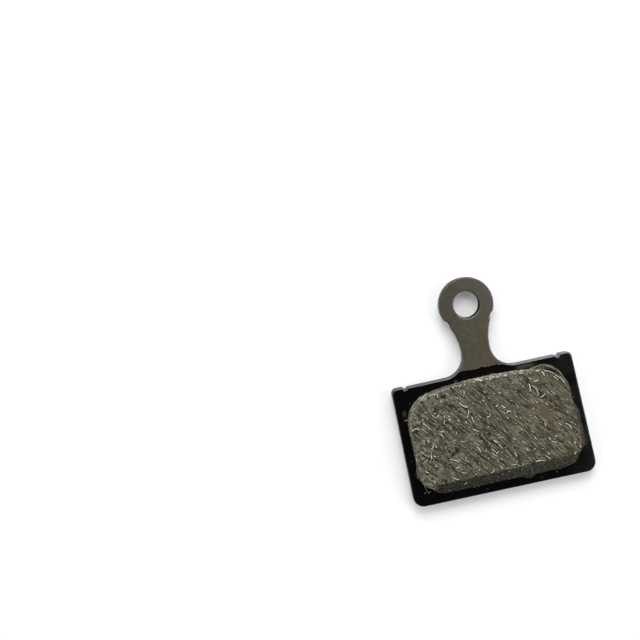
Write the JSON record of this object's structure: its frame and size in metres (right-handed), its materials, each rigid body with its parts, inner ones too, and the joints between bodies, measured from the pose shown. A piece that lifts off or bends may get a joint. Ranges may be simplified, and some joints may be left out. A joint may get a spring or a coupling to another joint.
{
  "type": "bicycle disc brake pad",
  "caption": "Flat disc brake pad for a bicycle caliper: a stamped steel plate with a pin eyelet on a neck, a black bond coat and a moulded friction block with a bevelled lower edge.",
  "frame": {"origin": "on the axis of the pin hole, on the plate's back face", "axes": "+Z out of the friction face, along the pin hole; +Y from the plate's body along the neck to the eyelet; +X to the right seen from the friction side"},
  "size_m": [0.0302, 0.0352, 0.0041],
  "materials": {
    "plate_steel": "bare stamped steel, tumbled satin, slightly warm grey",
    "black_coat": "thin glossy black bonding coat with a ragged border",
    "friction_compound": "matte moulded friction compound, olive grey, full of short bright metal fibres"
  },
  "bodies": {
    "root": {"backing_plate": "plate_steel", "bond_coat": "black_coat", "friction_block": "friction_compound"}
  },
  "joints": []
}
